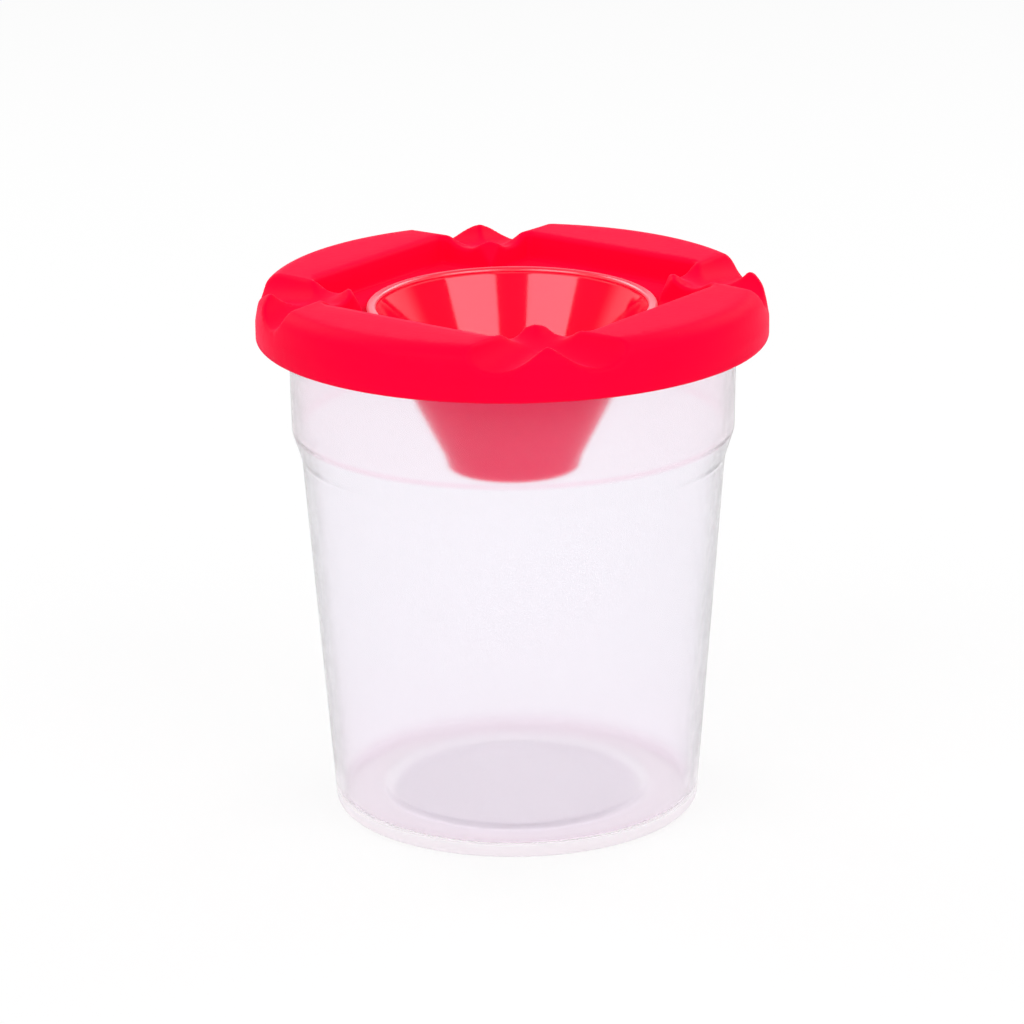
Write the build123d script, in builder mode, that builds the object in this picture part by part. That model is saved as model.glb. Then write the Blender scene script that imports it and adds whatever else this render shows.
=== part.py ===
from build123d import *

import math
import os

# Paint cup with a press-on lid. Sizes are in millimetres.
# +Z is up, and Z is the common axis of both mouldings. The origin is the centre of the
# foot, on the surface that the cup stands on. The lid's four flat lands face +X, -X, +Y
# and -Y, and its brush rests cross on the diagonals between them.

# Clearances between the two mouldings
snap_clearance = 0.35        # rim flange to the inside of the lid's skirt
plug_clearance = 0.35        # lid's plug ring to the cup's mouth

# Cup, from the foot up
foot_radius = 28.75
foot_floor = 1.8             # floor over the foot ring
foot_round = 1.5
foot_ring = 9.55             # width of the ring that the cup stands on
recess_rise = 1.6            # recess inside that ring
centre_floor = 1.6           # floor over the recess
cup_wall = 1.2
body_height = 57.3           # foot to the start of the slanted step
body_top_radius = 33.2
step_height = 4.7
step_round = 2.2
collar_radius = 34.68        # at the top of the step
collar_height = 17.2         # top of the step to the rim
collar_flare = 0.27
rim_reach = 3.4              # flange beyond the collar
rim_thickness = 1.2
rim_round = 0.4

# Lid, outside
skirt_wall = 1.3
skirt_drop = 2.5             # skirt below the cup's rim
skirt_band = 2.8             # upright part of the skirt
skirt_round = 0.4
side_lean = 1.0              # how far the side leans in above the band
top_round = 2.4
deck_thickness = 1.3
recess_depth = 4.5           # lands above the deck

# Lid, cross-shaped recess and brush rests
land_setback = 3.84          # funnel's lip to the walls in front of the lands
corner_setback = 0.67        # funnel's lip to the foot of the corner blocks' slopes
corner_lean = 30             # degrees that these slopes lean back from upright
recess_corner = 1.0
land_round = 0.9             # front edges of the lands
rest_setback = 5.5           # side of the recess to the middle of the nearest rest
rest_radius = 4.8
rest_inner_depth = 1.4       # below the lands where a rest leaves the recess
rest_outer_depth = 3.6       # below the lands where it reaches the lid's edge

# Lid, underside
rim_headroom = 0.8           # space over the cup's rim
seat_width = 1.45            # ring that sits on the rim, beyond the mouth
plug_wall = 1.2
plug_depth = 4.0
plug_round = 0.5
land_wall = 1.3

# Funnel in the lid
funnel_setback = 10.2        # plug ring to the funnel, at the deck's underside
funnel_neck_radius = 10.9    # outside, where the cone ends
funnel_cone_height = 21.8
funnel_wall = 1.25
stub_length = 2.0
stub_draft = 0.6
stub_round = 0.4
lip_rise = 1.1               # lip above the deck
lip_width = 1.4
lip_round = 0.55

# Heights and radii that follow from them
rim_height = body_height + step_height + collar_height
step_top = body_height + step_height
collar_top_radius = collar_radius + collar_flare
mouth_radius = collar_top_radius - cup_wall
rim_radius = collar_top_radius + rim_reach

lid_inner_radius = rim_radius + snap_clearance
lid_radius = lid_inner_radius + skirt_wall
lid_top_radius = lid_radius - side_lean
deck_height = rim_height + deck_thickness
lid_top = deck_height + recess_depth
skirt_bottom = rim_height - skirt_drop
seat_radius = mouth_radius + seat_width
plug_radius = mouth_radius - plug_clearance
plug_inner_radius = plug_radius - plug_wall

funnel_top_radius = plug_inner_radius - funnel_setback
funnel_neck_height = rim_height - funnel_cone_height
funnel_end = funnel_neck_height - stub_length
cone_slope = (funnel_top_radius - funnel_neck_radius) / funnel_cone_height
cone_wall = funnel_wall * math.hypot(1, cone_slope)
lip_inner_radius = funnel_top_radius - cone_wall + cone_slope * deck_thickness
lip_radius = lip_inner_radius + lip_width
lip_top = deck_height + lip_rise

recess_reach = lip_radius + land_setback
corner_foot_radius = lip_radius + corner_setback
corner_slope = math.tan(math.radians(corner_lean))
recess_half_width = corner_foot_radius / math.sqrt(2)
rest_offset = recess_half_width + rest_setback
rest_length = math.sqrt(lid_top_radius**2 - rest_offset**2) - recess_half_width
rest_fall = math.degrees(math.atan((rest_outer_depth - rest_inner_depth) / rest_length))

os.makedirs("parts", exist_ok=True)


def outline(corners):
    """Close a profile through (radius, height, corner round) triples."""
    points = [(radius, height) for radius, height, corner in corners]
    rounds = [corner for radius, height, corner in corners]
    FilletPolyline(*points, radius=rounds, close=True)


# Cup: one thin-walled moulding
recess_radius = foot_radius - foot_ring
body_floor_radius = foot_radius - cup_wall
trough_radius = recess_radius + foot_floor

with BuildPart() as cup:
    with BuildSketch(Plane.XZ):
        with BuildLine():
            outline(
                [
                    (0, recess_rise, 0),
                    (recess_radius, recess_rise, 0),
                    (recess_radius, 0, rim_round),
                    (foot_radius, 0, foot_round),
                    (body_top_radius, body_height, step_round),
                    (collar_radius, step_top, step_round),
                    (collar_top_radius, rim_height - rim_thickness, rim_round),
                    (rim_radius, rim_height - rim_thickness, rim_round),
                    (rim_radius, rim_height, rim_round),
                    (mouth_radius, rim_height, rim_round),
                    (collar_radius - cup_wall, step_top, step_round),
                    (body_top_radius - cup_wall, body_height, step_round),
                    (body_floor_radius, foot_floor, foot_round),
                    (trough_radius, foot_floor, rim_round),
                    (trough_radius, recess_rise + centre_floor, rim_round),
                    (0, recess_rise + centre_floor, 0),
                ]
            )
        make_face()
    revolve(axis=Axis.Z)
cup.part.label = "cup"
export_step(cup.part, "parts/cup.step")

# Lid: skirt, seat, recessed deck, brush rests, plug ring and funnel in one moulding
pocket_half_width = rest_offset - rest_radius - land_wall
pocket_start = recess_reach + land_wall
pocket_radius = lid_top_radius - skirt_wall
pocket_rise = recess_depth + deck_thickness - land_wall

with BuildPart() as lid:
    with BuildSketch(Plane.XZ):
        with BuildLine():
            outline(
                [
                    (0, rim_height, 0),
                    (seat_radius, rim_height, 0),
                    (seat_radius, rim_height + rim_headroom, 0),
                    (lid_inner_radius, rim_height + rim_headroom, 0),
                    (lid_inner_radius, skirt_bottom, skirt_round),
                    (lid_radius, skirt_bottom, skirt_round),
                    (lid_radius, skirt_bottom + skirt_band, 0),
                    (lid_top_radius, lid_top, top_round),
                    (0, lid_top, 0),
                ]
            )
        make_face()
    revolve(axis=Axis.Z)

    with BuildSketch(Plane.XY.offset(deck_height)) as recess:
        Rectangle(2 * recess_reach, 2 * recess_half_width)
        Rectangle(2 * recess_half_width, 2 * recess_reach)
        fillet(recess.vertices(), radius=recess_corner)
    extrude(amount=recess_depth, mode=Mode.SUBTRACT)
    land_edges = lid.edges().filter_by(
        lambda edge: abs(edge.center().Z - lid_top) < 0.01
        and math.hypot(edge.position_at(0).X, edge.position_at(0).Y) < pocket_radius - top_round
    )
    fillet(land_edges, radius=land_round)

    with BuildSketch(Plane.XZ):
        with BuildLine():
            outline(
                [
                    (0, deck_height, 0),
                    (corner_foot_radius - corner_slope * lip_rise, deck_height, 0),
                    (corner_foot_radius + corner_slope * (lid_top - lip_top), lid_top, 0),
                    (0, lid_top, 0),
                ]
            )
        make_face()
    revolve(axis=Axis.Z, mode=Mode.SUBTRACT)

    for quarter in range(4):
        outward = Vector(1, 0, 0).rotate(Axis.Z, 90 * quarter)
        sideways = Vector(0, 1, 0).rotate(Axis.Z, 90 * quarter)
        along_rest = outward.rotate(Axis((0, 0, 0), sideways), rest_fall)
        start = outward * recess_half_width + Vector(0, 0, lid_top - rest_inner_depth)
        start -= along_rest * rest_radius
        with BuildSketch(Plane(origin=start, x_dir=sideways, z_dir=along_rest)):
            with Locations((-rest_offset, rest_radius), (rest_offset, rest_radius)):
                Circle(rest_radius)
        extrude(amount=rest_radius + lid_radius, mode=Mode.SUBTRACT)

    for inner, outer in ((0, plug_inner_radius), (seat_radius, pocket_radius)):
        with BuildSketch(Plane.XY.offset(rim_height)):
            Rectangle(2 * outer, 2 * pocket_half_width)
            Rectangle(2 * pocket_half_width, 2 * outer)
            Rectangle(2 * pocket_start, 2 * pocket_start, mode=Mode.SUBTRACT)
            Circle(outer, mode=Mode.INTERSECT)
            if inner:
                Circle(inner, mode=Mode.SUBTRACT)
        extrude(amount=pocket_rise, mode=Mode.SUBTRACT)

    with BuildSketch(Plane.XZ):
        with BuildLine():
            outline(
                [
                    (plug_inner_radius, rim_height - plug_depth, plug_round),
                    (plug_radius, rim_height - plug_depth, plug_round),
                    (plug_radius, rim_height, 0),
                    (plug_inner_radius, rim_height, 0),
                ]
            )
        make_face()
        with BuildLine():
            outline(
                [
                    (0, funnel_end, 0),
                    (funnel_neck_radius - stub_draft, funnel_end, stub_round),
                    (funnel_neck_radius, funnel_neck_height, 0),
                    (funnel_top_radius, rim_height, 0),
                    (lip_radius, deck_height, 0),
                    (lip_radius, lip_top, lip_round),
                    (0, lip_top, 0),
                ]
            )
        make_face()
    revolve(axis=Axis.Z)

    with BuildSketch(Plane.XZ):
        with BuildLine():
            outline(
                [
                    (0, funnel_end, 0),
                    (funnel_neck_radius - stub_draft - funnel_wall, funnel_end, 0),
                    (funnel_neck_radius - cone_wall, funnel_neck_height, 0),
                    (lip_inner_radius, deck_height, 0),
                    (lip_inner_radius, lip_top, 0),
                    (0, lip_top, 0),
                ]
            )
        make_face()
    revolve(axis=Axis.Z, mode=Mode.SUBTRACT)
    lip_edge = lid.edges().filter_by(GeomType.CIRCLE).filter_by(
        lambda edge: abs(edge.radius - lip_inner_radius) < 0.01
        and abs(edge.center().Z - lip_top) < 0.01
    )
    fillet(lip_edge, radius=lip_round)
lid.part.label = "lid"
export_step(lid.part, "parts/lid.step")

print("lid radius", round(lid_radius, 2), "height", round(lid_top, 2))
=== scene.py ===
import math

import bpy
import numpy as np
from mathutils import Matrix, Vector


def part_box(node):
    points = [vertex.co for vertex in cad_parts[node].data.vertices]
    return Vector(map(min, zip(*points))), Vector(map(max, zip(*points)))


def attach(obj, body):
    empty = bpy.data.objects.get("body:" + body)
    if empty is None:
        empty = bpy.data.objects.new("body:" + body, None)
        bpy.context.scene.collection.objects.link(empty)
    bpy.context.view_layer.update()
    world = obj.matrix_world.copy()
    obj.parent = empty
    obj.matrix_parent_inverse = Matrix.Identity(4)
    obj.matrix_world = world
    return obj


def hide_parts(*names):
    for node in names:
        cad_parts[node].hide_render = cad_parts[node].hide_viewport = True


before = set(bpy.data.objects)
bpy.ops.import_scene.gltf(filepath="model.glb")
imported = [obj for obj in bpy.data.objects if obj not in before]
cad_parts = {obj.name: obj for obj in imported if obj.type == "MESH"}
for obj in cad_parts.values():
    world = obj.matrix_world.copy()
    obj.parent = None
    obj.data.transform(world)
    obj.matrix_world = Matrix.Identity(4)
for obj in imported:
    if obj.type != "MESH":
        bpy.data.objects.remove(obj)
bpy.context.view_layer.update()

import openvdb
from mathutils import Matrix, Vector

MM = 0.001


def measured(node):
    """Radius, bottom and top of a CAD node, in millimetres to a hundredth."""
    low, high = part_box(node)
    return [round(value / MM, 2) for value in (high.x, low.z, high.z)]


# Sizes from the frame, in millimetres like all sizes above the next function
RIM_RADIUS, FOOT_BOTTOM, RIM_HEIGHT = measured("cup")
LID_RADIUS, FUNNEL_END, LID_TOP = measured("lid")

# Clearances between the two mouldings
SNAP_CLEARANCE = 0.35  # rim flange to the inside of the lid's skirt
PLUG_CLEARANCE = 0.35  # lid's plug ring to the cup's mouth

# Cup, from the rim down
CUP_WALL = 1.2
RIM_THICKNESS = 1.2
RIM_REACH = 3.4  # flange beyond the collar
RIM_ROUND = 0.4
RIM_BOTTOM = RIM_HEIGHT - RIM_THICKNESS
COLLAR_HEIGHT = 17.2  # top of the step to the rim
COLLAR_FLARE = 0.27
COLLAR_TOP_RADIUS = RIM_RADIUS - RIM_REACH
COLLAR_RADIUS = COLLAR_TOP_RADIUS - COLLAR_FLARE
MOUTH_RADIUS = COLLAR_TOP_RADIUS - CUP_WALL
STEP_HEIGHT = 4.7
STEP_ROUND = 2.2
STEP_TOP = RIM_HEIGHT - COLLAR_HEIGHT
BODY_TOP = STEP_TOP - STEP_HEIGHT
BODY_TOP_RADIUS = 33.2
FOOT_RADIUS = 28.75
FOOT_ROUND = 1.5
FOOT_RING = 9.55  # width of the ring that the cup stands on
FOOT_FLOOR = 1.8  # thickness over that ring
RECESS_RISE = 1.6
RECESS_FLOOR = 1.6  # thickness over the recess
RECESS_TOP = RECESS_RISE + RECESS_FLOOR
RECESS_RADIUS = FOOT_RADIUS - FOOT_RING
TROUGH_RADIUS = RECESS_RADIUS + FOOT_FLOOR  # where the floor steps up over the recess

# Lid's outside
SIDE_LEAN = 1.0  # how far the side leans in above the band
SKIRT_DROP = 2.5  # skirt below the cup's rim
SKIRT_BAND = 2.8  # upright part of the skirt
SKIRT_ROUND = 0.4
TOP_ROUND = 2.4
LID_INNER_RADIUS = RIM_RADIUS + SNAP_CLEARANCE
LID_TOP_RADIUS = LID_RADIUS - SIDE_LEAN
SKIRT_BOTTOM = RIM_HEIGHT - SKIRT_DROP
BAND_TOP = SKIRT_BOTTOM + SKIRT_BAND

# Seat and plug ring under the lid
SEAT_WIDTH = 1.45  # ring that sits on the rim, beyond the mouth
SEAT_HEADROOM = 0.8
SEAT_RADIUS = MOUTH_RADIUS + SEAT_WIDTH
PLUG_WALL = 1.2
PLUG_DEPTH = 4.0
PLUG_ROUND = 0.5
PLUG_SINK = 0.3  # how far the ring reaches up into the plate
PLUG_RADIUS = MOUTH_RADIUS - PLUG_CLEARANCE
PLUG_INNER_RADIUS = PLUG_RADIUS - PLUG_WALL
PLUG_BOTTOM = RIM_HEIGHT - PLUG_DEPTH

# Deck and funnel
DECK_THICKNESS = 1.3
DECK_HEIGHT = RIM_HEIGHT + DECK_THICKNESS
FUNNEL_SETBACK = 10.2  # plug ring to the funnel, at the deck's underside
FUNNEL_TOP_RADIUS = PLUG_INNER_RADIUS - FUNNEL_SETBACK
CONE_WALL = 1.4  # measured level
NECK_RADIUS = 10.9
NECK_INNER_RADIUS = NECK_RADIUS - CONE_WALL
STUB_LENGTH = 2.0
STUB_DRAFT = 0.6
STUB_WALL = 1.25
STUB_ROUND = 0.4
STUB_INNER_ROUND = 0.3
STUB_RADIUS = NECK_RADIUS - STUB_DRAFT
STUB_INNER_RADIUS = STUB_RADIUS - STUB_WALL
NECK_HEIGHT = FUNNEL_END + STUB_LENGTH
LIP_RISE = 1.1  # lip above the deck
LIP_WIDTH = 1.4
LIP_FLARE = 0.66  # how far the cone widens through the deck
LIP_ROUND = 0.55
LIP_BAND = 0.5  # height of the paler band at the top of the lip
LIP_TOP = DECK_HEIGHT + LIP_RISE
LIP_RADIUS = FUNNEL_TOP_RADIUS + LIP_FLARE
LIP_INNER_RADIUS = LIP_RADIUS - LIP_WIDTH
PLATE_HOLE = FUNNEL_TOP_RADIUS - 0.2  # the plate ends inside the funnel's wall

# Cross-shaped recess, corner blocks and brush rests
LAND_SETBACK = 3.84  # lip to the walls in front of the lands
LAND_ROUND = 0.9
LAND_WALL = 1.3
INSIDE_ROUND = 0.45
RECESS_REACH = LIP_RADIUS + LAND_SETBACK
RECESS_HALF_WIDTH = 16.5
RECESS_CORNER = 1.0
CORNER_SETBACK = 0.67  # lip to the corner blocks, at the lip's height
CORNER_SLOPE = 0.577
CORNER_ROUND = 0.4
CORNER_RADIUS = LIP_RADIUS + CORNER_SETBACK
REST_SETBACK = 5.5  # side of the recess to the middle of the nearest rest
REST_RADIUS = 4.8
REST_INNER_DEPTH = 1.4  # below the lands where a rest leaves the recess
REST_OUTER_DEPTH = 3.6  # below the lands where it reaches the lid's edge
REST_ROUND = 0.5
REST_OFFSET = RECESS_HALF_WIDTH + REST_SETBACK

# Pockets under the lands
POCKET_HALF_WIDTH = REST_OFFSET - REST_RADIUS - LAND_WALL
POCKET_START = RECESS_REACH + LAND_WALL
POCKET_RADIUS = LID_TOP_RADIUS - LAND_WALL
POCKET_TOP = LID_TOP - LAND_WALL


def filleted(corners, steps):
    """Points of a closed (radius, height) profile with the given corners rounded."""
    points = []
    count = len(corners)
    for i, (r, z, size) in enumerate(corners):
        here = Vector((r, z))
        back = Vector(corners[i - 1][:2]) - here
        ahead = Vector(corners[(i + 1) % count][:2]) - here
        if size == 0:
            points.append(tuple(here))
            continue
        back.normalize()
        ahead.normalize()
        half = back.angle(ahead) / 2
        reach = size / math.tan(half)
        middle = here + (back + ahead).normalized() * size / math.sin(half)
        start = here + back * reach - middle
        end = here + ahead * reach - middle
        for k in range(steps + 1):
            arm = start.slerp(end, k / steps)
            points.append(tuple(middle + arm.normalized() * size))
    return points


def smooth_object(name, verts, faces):
    """A smooth-shaded mesh object from points in metres."""
    mesh = bpy.data.meshes.new(name)
    mesh.from_pydata(verts, [], faces)
    mesh.polygons.foreach_set("use_smooth", [True] * len(mesh.polygons))
    obj = bpy.data.objects.new(name, mesh)
    bpy.context.collection.objects.link(obj)
    return obj


def revolved(name, corners, segments=192, steps=8, sharp_angle=35):
    """A closed ring or cup of revolution about Z, from a profile in millimetres."""
    verts, faces, rows = [], [], []
    for r, z in filleted(corners, steps):
        if r < 1e-6:
            rows.append([len(verts)] * segments)
            verts.append((0.0, 0.0, z * MM))
            continue
        rows.append(list(range(len(verts), len(verts) + segments)))
        for k in range(segments):
            turn = 2 * math.pi * k / segments
            verts.append((r * math.cos(turn) * MM, r * math.sin(turn) * MM, z * MM))
    for i, low in enumerate(rows):
        high = rows[(i + 1) % len(rows)]
        if len(set(low)) == 1 and len(set(high)) == 1:
            continue
        for k in range(segments):
            n = (k + 1) % segments
            face = []
            for v in (low[k], low[n], high[n], high[k]):
                if v not in face:
                    face.append(v)
            faces.append(face)
    obj = smooth_object(name, verts, faces)
    obj.data.validate()
    obj.data.set_sharp_from_angle(angle=math.radians(sharp_angle))
    shade = obj.modifiers.new("even shading", "WEIGHTED_NORMAL")
    shade.keep_sharp = True
    return obj


def round_max(a, b, size):
    """Distance to what two solids share, with the edge between them rounded."""
    corner = np.hypot(np.maximum(a + size, 0), np.maximum(b + size, 0))
    return np.minimum(np.maximum(a, b), -size) + corner


def lid_distance(x, y, z):
    """Signed distance to the lid's plate: skirt, lands, recess, brush rests and seat."""
    r = np.hypot(x, y)
    across, along = np.abs(x), np.abs(y)

    # Outside
    lean = math.atan(SIDE_LEAN / (LID_TOP - BAND_TOP))
    slant = (r - LID_RADIUS) * math.cos(lean) + (z - BAND_TOP) * math.sin(lean)
    solid = round_max(np.maximum(r - LID_RADIUS, slant), z - LID_TOP, TOP_ROUND)
    solid = round_max(solid, SKIRT_BOTTOM - z, SKIRT_ROUND)

    # Cross-shaped recess, and the cone that slopes the corner blocks
    cross = np.minimum(
        round_max(across - RECESS_REACH, along - RECESS_HALF_WIDTH, RECESS_CORNER),
        round_max(across - RECESS_HALF_WIDTH, along - RECESS_REACH, RECESS_CORNER),
    )
    recess = round_max(cross, DECK_HEIGHT - z, INSIDE_ROUND)
    corner = r - CORNER_RADIUS - CORNER_SLOPE * (z - LIP_TOP)
    corner = np.maximum(corner / math.hypot(1, CORNER_SLOPE), DECK_HEIGHT - z)
    solid = round_max(solid, -recess, LAND_ROUND)
    solid = round_max(solid, -corner, CORNER_ROUND)

    # Brush rests
    length = math.sqrt(LID_TOP_RADIUS**2 - REST_OFFSET**2) - RECESS_HALF_WIDTH
    fall = math.atan((REST_OUTER_DEPTH - REST_INNER_DEPTH) / length)
    for out, side in ((across, along), (along, across)):
        up = (out - RECESS_HALF_WIDTH) * math.sin(fall)
        up = up + (z - LID_TOP + REST_INNER_DEPTH) * math.cos(fall) - REST_RADIUS
        rest = np.hypot(side - REST_OFFSET, up) - REST_RADIUS
        solid = round_max(solid, -rest, REST_ROUND)

    # Room for the cup's rim
    under_rim = np.maximum(r - LID_INNER_RADIUS, z - RIM_HEIGHT)
    over_rim = np.maximum(r - LID_INNER_RADIUS, z - RIM_HEIGHT - SEAT_HEADROOM)
    over_rim = np.maximum(over_rim, SEAT_RADIUS - r)
    solid = round_max(solid, -np.minimum(under_rim, over_rim), SKIRT_ROUND)

    # Pockets under the lands, parted by the plug and seat rings
    pocket = np.minimum(
        np.maximum(across - POCKET_RADIUS, along - POCKET_HALF_WIDTH),
        np.maximum(across - POCKET_HALF_WIDTH, along - POCKET_RADIUS),
    )
    pocket = np.maximum(pocket, POCKET_START - np.maximum(across, along))
    pocket = np.maximum(pocket, np.maximum(r - POCKET_RADIUS, z - POCKET_TOP))
    pocket = np.maximum(pocket, np.minimum(r - PLUG_INNER_RADIUS, SEAT_RADIUS - r))
    solid = np.maximum(solid, -pocket)
    return np.maximum(solid, PLATE_HOLE - r)


def slope(x, y, z, step=0.01):
    """Gradient of the lid's distance, by differences."""
    return np.stack(
        [
            lid_distance(x + step, y, z) - lid_distance(x - step, y, z),
            lid_distance(x, y + step, z) - lid_distance(x, y - step, z),
            lid_distance(x, y, z + step) - lid_distance(x, y, z - step),
        ],
        axis=1,
    ) / (2 * step)


def plate(name, pitch=0.35, adaptivity=0.02):
    """The lid's plate as a closed mesh on the zero surface of lid_distance."""
    low = np.array([-LID_RADIUS - 1, -LID_RADIUS - 1, SKIRT_BOTTOM - 1])
    high = np.array([LID_RADIUS + 1, LID_RADIUS + 1, LID_TOP + 1])
    counts = np.ceil((high - low) / pitch).astype(int) + 1
    axes = [low[i] + pitch * np.arange(counts[i]) for i in range(3)]
    x, y, z = np.meshgrid(*axes, indexing="ij")
    band = 3.0
    field = np.clip(lid_distance(x, y, z) / pitch, -band, band)
    grid = openvdb.FloatGrid(band)
    grid.gridClass = openvdb.GridClass.LEVEL_SET
    grid.copyFromArray(field.astype(np.float32))
    points, triangles, quads = grid.convertToPolygons(isovalue=0.0, adaptivity=adaptivity)
    points = low + np.asarray(points, dtype=float) * pitch

    # A few steps along the gradient bring the points right onto the surface
    longest = 0.3
    gentlest = 0.25
    for _ in range(4):
        value = lid_distance(*points.T)
        step = slope(*points.T)
        steepness = np.maximum((step**2).sum(axis=1), gentlest)
        points = points - np.clip(value / steepness, -longest, longest)[:, None] * step
    faces = [tuple(int(v) for v in f[::-1]) for f in list(triangles) + list(quads)]
    return smooth_object(name, [tuple(p) for p in points * MM], faces)


def node_of(tree, kind, **values):
    """A new node with the named inputs set."""
    node = tree.nodes.new(kind)
    for key, value in values.items():
        node.inputs[key.replace("_", " ")].default_value = value
    return node


def maths(tree, operation, *values):
    """Result of a maths node whose inputs are sockets or plain numbers."""
    node = tree.nodes.new("ShaderNodeMath")
    node.operation = operation
    for socket, value in zip(node.inputs, values):
        if isinstance(value, float):
            socket.default_value = value
        else:
            tree.links.new(value, socket)
    return node.outputs[0]


def ranged(tree, value, start, end, to_start=0.0, to_end=1.0):
    """A value mapped from one range to another, and held at its ends."""
    node = node_of(
        tree,
        "ShaderNodeMapRange",
        From_Min=start,
        From_Max=end,
        To_Min=to_start,
        To_Max=to_end,
    )
    tree.links.new(value, node.inputs["Value"])
    return node.outputs["Result"]


def ramp(tree, value, *stops):
    """Colours along a value, from (position, colour) stops."""
    node = tree.nodes.new("ShaderNodeValToRGB")
    elements = node.color_ramp.elements
    for i, (position, colour) in enumerate(stops):
        element = elements[i] if i < 2 else elements.new(position)
        element.position = position
        element.color = (*colour, 1)
    tree.links.new(value, node.inputs["Fac"])
    return node.outputs["Color"]


def clouds(tree, place, **values):
    """Noise over the object."""
    node = node_of(tree, "ShaderNodeTexNoise", **values)
    tree.links.new(place, node.inputs["Vector"])
    return node.outputs["Fac"]


def blank(name):
    """A new material, its node tree and its shader."""
    material = bpy.data.materials.new(name)
    material.use_nodes = True
    tree = material.node_tree
    return material, tree, tree.nodes["Principled BSDF"]


def red_plastic(name, roughness, level, bump=0.0, sheen=0.0, red=0.93, blue=0.0335):
    """Moulded red plastic whose colour and gloss drift a little over the surface."""
    material, tree, shader = blank(name)
    link = tree.links.new
    place = tree.nodes.new("ShaderNodeTexCoord").outputs["Object"]
    drift = clouds(tree, place, Scale=45.0, Detail=3.0, Roughness=0.55)
    tint = ramp(
        tree,
        drift,
        (0.3, (red - 0.03, 0.0005, 0.93 * blue)),
        (0.7, (red + 0.03, 0.0005, 1.07 * blue)),
    )
    link(tint, shader.inputs["Base Color"])
    gloss = ranged(tree, drift, 0.0, 1.0, 0.88 * roughness, 1.12 * roughness)
    link(gloss, shader.inputs["Roughness"])
    grain = clouds(tree, place, Scale=900.0, Detail=2.0)
    rise = node_of(tree, "ShaderNodeBump", Strength=bump, Distance=0.0002)
    link(grain, rise.inputs["Height"])
    link(rise.outputs["Normal"], shader.inputs["Normal"])
    shader.inputs["Specular IOR Level"].default_value = level
    shader.inputs["Specular Tint"].default_value = (1.0, 0.9, 1.0, 1)
    shader.inputs["Sheen Weight"].default_value = sheen
    shader.inputs["Sheen Roughness"].default_value = 0.4
    shader.inputs["Sheen Tint"].default_value = (1.0, 0.2, 0.75, 1)
    return material


def frosted_plastic(name):
    """Milky, see-through plastic, a little pinker towards the bottom, with painted light: red light
    from the lid painted pink into the collar and as a line at the step's top, and painted shade at the
    foot.
    """
    material, tree, shader = blank(name)
    link = tree.links.new
    place = tree.nodes.new("ShaderNodeTexCoord").outputs["Object"]
    split = tree.nodes.new("ShaderNodeSeparateXYZ")
    link(place, split.inputs["Vector"])
    height = split.outputs["Z"]
    flat = tree.nodes.new("ShaderNodeVectorMath")
    flat.operation = "MULTIPLY"
    flat.inputs[1].default_value = (1, 1, 0)
    link(place, flat.inputs[0])
    reach = tree.nodes.new("ShaderNodeVectorMath")
    reach.operation = "LENGTH"
    link(flat.outputs[0], reach.inputs[0])
    radius = reach.outputs["Value"]

    # One in the foot ring, where painted shade makes the plastic darker and pinker, and one in the
    # floor over the recess
    foot = maths(
        tree,
        "MULTIPLY",
        ranged(tree, radius, 0.0195, 0.0225),
        ranged(tree, height, 0.004, 0.0015),
    )
    recess = maths(
        tree,
        "MULTIPLY",
        ranged(tree, radius, 0.0235, 0.0215),
        ranged(tree, height, 0.0045, 0.0035),
    )

    # Painted light: the pink line at the step's top and the pinker collar stand in for red light from
    # the lid seen through the plastic
    tint = ramp(
        tree,
        ranged(tree, height, 0.0, 0.079),
        (0.0, (0.99, 0.955, 1.0)),
        (0.4, (0.98, 0.965, 1.0)),
        (0.777, (0.98, 0.965, 1.0)),
        (0.785, (0.98, 0.82, 0.9)),
        (0.793, (0.985, 0.93, 0.975)),
    )
    # Painted shade: a darker, pinker colour in the foot ring, where the floor steps up over the recess
    painted_foot_shade = tree.nodes.new("ShaderNodeMix")
    painted_foot_shade.data_type = "RGBA"
    painted_foot_shade.inputs["B"].default_value = (0.95, 0.84, 0.92, 1)
    link(foot, painted_foot_shade.inputs["Factor"])
    link(tint, painted_foot_shade.inputs["A"])
    link(painted_foot_shade.outputs["Result"], shader.inputs["Base Color"])

    clear = ranged(tree, foot, 0.0, 1.0, 0.965, 0.92)
    link(clear, shader.inputs["Transmission Weight"])

    drift = clouds(tree, place, Scale=60.0, Detail=3.0)
    frost = ranged(tree, drift, 0.0, 1.0, 0.16, 0.2)
    frost = maths(tree, "MULTIPLY_ADD", recess, 0.35, frost)
    frost = maths(tree, "MULTIPLY_ADD", foot, 0.15, frost)
    link(frost, shader.inputs["Roughness"])
    shader.inputs["IOR"].default_value = 1.17
    return material


def seen_white(tree):
    """One for rays that come from the camera, a gloss or a glass, and otherwise nought."""
    path = tree.nodes.new("ShaderNodeLightPath")
    seen = path.outputs["Is Camera Ray"]
    for name in ("Is Glossy Ray", "Is Transmission Ray"):
        seen = maths(tree, "MAXIMUM", seen, path.outputs[name])
    return seen


def direction(bearing, rise):
    """Unit vector at a bearing about Z and a rise over the floor, in radians."""
    level = math.cos(rise)
    return Vector((math.cos(bearing) * level, math.sin(bearing) * level, math.sin(rise)))


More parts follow.
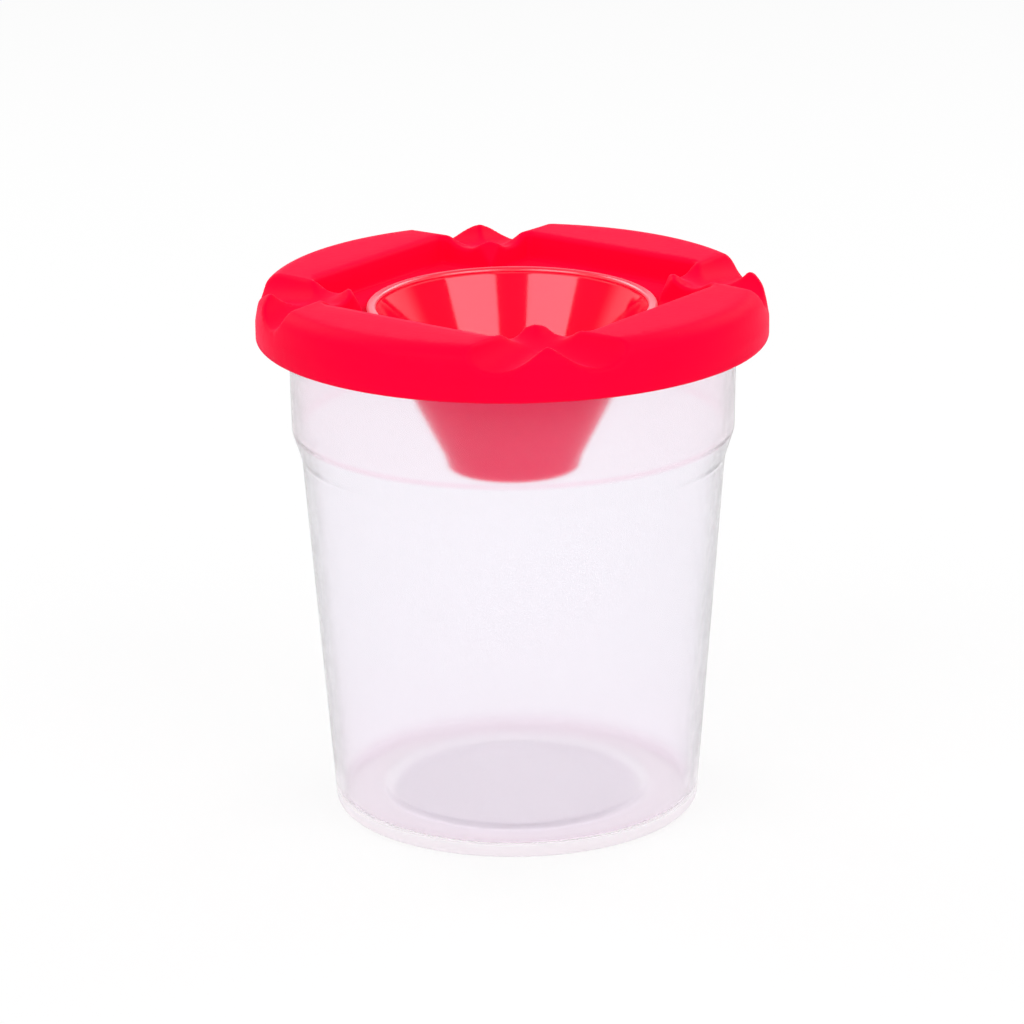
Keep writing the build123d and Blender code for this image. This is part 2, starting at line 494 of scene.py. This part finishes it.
# Camera at the photograph's angle
view_bearing = math.radians(-52.9)
view_rise = math.radians(17.5)
view_roll = math.radians(-0.6)
view_distance = 0.7778
view_target = Vector((-0.00028, -0.00021, 0.0474))
toward = direction(view_bearing, view_rise)
eye = view_target + view_distance * toward
right = toward.cross(Vector((0, 0, -1))).normalized()
up = toward.cross(right).normalized()
right, up = (
    math.cos(view_roll) * right + math.sin(view_roll) * up,
    math.cos(view_roll) * up - math.sin(view_roll) * right,
)
camera = bpy.data.objects.new("camera", bpy.data.cameras.new("camera"))
bpy.context.collection.objects.link(camera)
turned = Matrix((right, up, toward)).transposed().to_4x4()
camera.matrix_world = Matrix.Translation(eye) @ turned
camera.data.sensor_width = 36
camera.data.lens = 173.4
camera.data.clip_end = 20
bpy.context.scene.camera = camera
bpy.context.scene.view_settings.view_transform = "Standard"

# Cup
cup = revolved(
    "cup_moulding",
    [
        (0, RECESS_RISE, 0),
        (RECESS_RADIUS, RECESS_RISE, 0),
        (RECESS_RADIUS, FOOT_BOTTOM, RIM_ROUND),
        (FOOT_RADIUS, FOOT_BOTTOM, FOOT_ROUND),
        (BODY_TOP_RADIUS, BODY_TOP, STEP_ROUND),
        (COLLAR_RADIUS, STEP_TOP, STEP_ROUND),
        (COLLAR_TOP_RADIUS, RIM_BOTTOM, RIM_ROUND),
        (RIM_RADIUS, RIM_BOTTOM, RIM_ROUND),
        (RIM_RADIUS, RIM_HEIGHT, RIM_ROUND),
        (MOUTH_RADIUS, RIM_HEIGHT, RIM_ROUND),
        (COLLAR_RADIUS - CUP_WALL, STEP_TOP, STEP_ROUND),
        (BODY_TOP_RADIUS - CUP_WALL, BODY_TOP, STEP_ROUND),
        (FOOT_RADIUS - CUP_WALL, FOOT_FLOOR, FOOT_ROUND),
        (TROUGH_RADIUS, FOOT_FLOOR, RIM_ROUND),
        (TROUGH_RADIUS, RECESS_TOP, RIM_ROUND),
        (0, RECESS_TOP, 0),
    ],
    segments=480,
    steps=5,
)
cup.data.materials.append(frosted_plastic("cup frosted plastic with painted light"))
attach(cup, "cup")
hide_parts("cup")

# Lid
outside = red_plastic("lid plastic outside", 0.45, 0.015, bump=0.15, sheen=0.1)
polished = red_plastic("lid plastic polished", 0.09, 0.63)
lip = red_plastic("lid plastic lip", 0.24, 1.0, sheen=1.0)
lip_shader = lip.node_tree.nodes["Principled BSDF"]
lip_shader.inputs["Coat Weight"].default_value = 1.0
lip_shader.inputs["Coat Roughness"].default_value = 0.3
lip_shader.inputs["Sheen Tint"].default_value = (1.0, 0.55, 0.7, 1)
# Painted light: the funnel's outer faces get a lighter, bluer red, for light that comes through the
# thin plastic
under = red_plastic("lid plastic underside painted lighter", 0.2, 0.1, red=0.97, blue=0.085)

funnel = revolved(
    "lid_funnel",
    [
        (STUB_INNER_RADIUS, FUNNEL_END, STUB_INNER_ROUND),
        (STUB_RADIUS, FUNNEL_END, STUB_ROUND),
        (NECK_RADIUS, NECK_HEIGHT, 0),
        (FUNNEL_TOP_RADIUS, RIM_HEIGHT, 0),
        (LIP_RADIUS, DECK_HEIGHT, 0),
        (LIP_RADIUS, LIP_TOP, LIP_ROUND),
        (LIP_INNER_RADIUS, LIP_TOP, LIP_ROUND),
        (LIP_INNER_RADIUS, DECK_HEIGHT, 0),
        (NECK_INNER_RADIUS, NECK_HEIGHT, 0),
    ],
)
for material in (polished, lip, under):
    funnel.data.materials.append(material)
for face in funnel.data.polygons:
    outward = Vector((face.center.x, face.center.y, 0))
    if face.center.z > (LIP_TOP - LIP_BAND) * MM:
        face.material_index = 1
    # Outer faces take the underside red with its painted light
    elif face.normal.dot(outward) > 0:
        face.material_index = 2
plug = revolved(
    "lid_plug_ring",
    [
        (PLUG_INNER_RADIUS, PLUG_BOTTOM, PLUG_ROUND),
        (PLUG_RADIUS, PLUG_BOTTOM, PLUG_ROUND),
        (PLUG_RADIUS, RIM_HEIGHT + PLUG_SINK, 0),
        (PLUG_INNER_RADIUS, RIM_HEIGHT + PLUG_SINK, 0),
    ],
)
plug.data.materials.append(outside)
top = plate("lid_plate")
top.data.materials.append(outside)
for piece in (top, funnel, plug):
    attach(piece, "lid")
    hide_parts("lid")

# Floor, nearly white where it is seen, though it still takes the object's shadow
FLOOR_LIFT = 0.00002  # so that it doesn't coincide with the foot's underside
FLOOR_REACH = 3.0
FLOOR_WHITE = 0.85  # share of plain white where the floor is seen
floor_mesh = bpy.data.meshes.new("floor")
floor_corners = [(x * FLOOR_REACH, y * FLOOR_REACH, 0) for x, y in ((-1, -1), (1, -1), (1, 1), (-1, 1))]
floor_mesh.from_pydata(floor_corners, [], [(0, 1, 2, 3)])
floor = bpy.data.objects.new("floor", floor_mesh)
floor.location.z = FLOOR_LIFT
bpy.context.collection.objects.link(floor)
paper, tree, lit = blank("floor paper")
lit.inputs["Base Color"].default_value = (0.9, 0.9, 0.9, 1)
lit.inputs["Roughness"].default_value = 0.9
lit.inputs["Specular IOR Level"].default_value = 0.0
white = node_of(tree, "ShaderNodeEmission", Color=(1, 1, 1, 1), Strength=1.0)
share = maths(tree, "MULTIPLY", seen_white(tree), FLOOR_WHITE)
mix = tree.nodes.new("ShaderNodeMixShader")
tree.links.new(share, mix.inputs["Fac"])
tree.links.new(lit.outputs[0], mix.inputs[1])
tree.links.new(white.outputs[0], mix.inputs[2])
tree.links.new(mix.outputs[0], tree.nodes["Material Output"].inputs["Surface"])
floor_mesh.materials.append(paper)

# World: a plain level that lights the object, and white round the horizon where it is seen
LIGHT_LEVEL = 0.48
HORIZON_LEVEL = 1.0
OVERHEAD_LEVEL = 0.08
HORIZON_TOP = 0.3  # as the height of a direction of unit length
OVERHEAD_BOTTOM = 0.38
world = bpy.data.worlds.new("studio")
world.use_nodes = True
bpy.context.scene.world = world
tree = world.node_tree
backdrop = tree.nodes["Background"]
backdrop.inputs["Color"].default_value = (1, 1, 1, 1)
place = tree.nodes.new("ShaderNodeTexCoord").outputs["Generated"]
split = tree.nodes.new("ShaderNodeSeparateXYZ")
tree.links.new(place, split.inputs["Vector"])
dome = ranged(
    tree, split.outputs["Z"], HORIZON_TOP, OVERHEAD_BOTTOM, HORIZON_LEVEL, OVERHEAD_LEVEL
)
level = node_of(tree, "ShaderNodeMapRange", To_Min=LIGHT_LEVEL)
tree.links.new(dome, level.inputs["To Max"])
tree.links.new(seen_white(tree), level.inputs["Value"])
tree.links.new(level.outputs["Result"], backdrop.inputs["Strength"])

# Soft boxes: two in front of the object and two behind it, on both sides of the camera's line
BOX_DISTANCE = 0.75
box_target = Vector((0, 0, 0.07))
for name, swing, lift, wide, high, power in (  # degrees, degrees, metres, metres, watts
    ("front left", -40.5, 38.0, 0.52, 0.42, 2.3),
    ("front right", 40.5, 38.0, 0.52, 0.42, 2.3),
    ("back left", -134.0, 34.0, 0.4, 0.4, 1.5),
    ("back right", 134.0, 34.0, 0.4, 0.4, 1.5),
):
    light = bpy.data.lights.new(f"soft box {name}", "AREA")
    light.shape = "RECTANGLE"
    light.size = wide
    light.size_y = high
    light.energy = power
    lamp = bpy.data.objects.new(f"soft box {name}", light)
    bpy.context.collection.objects.link(lamp)
    outward = direction(view_bearing + math.radians(swing), math.radians(lift))
    lamp.location = box_target + BOX_DISTANCE * outward
    lamp.rotation_euler = outward.to_track_quat("Z", "Y").to_euler()
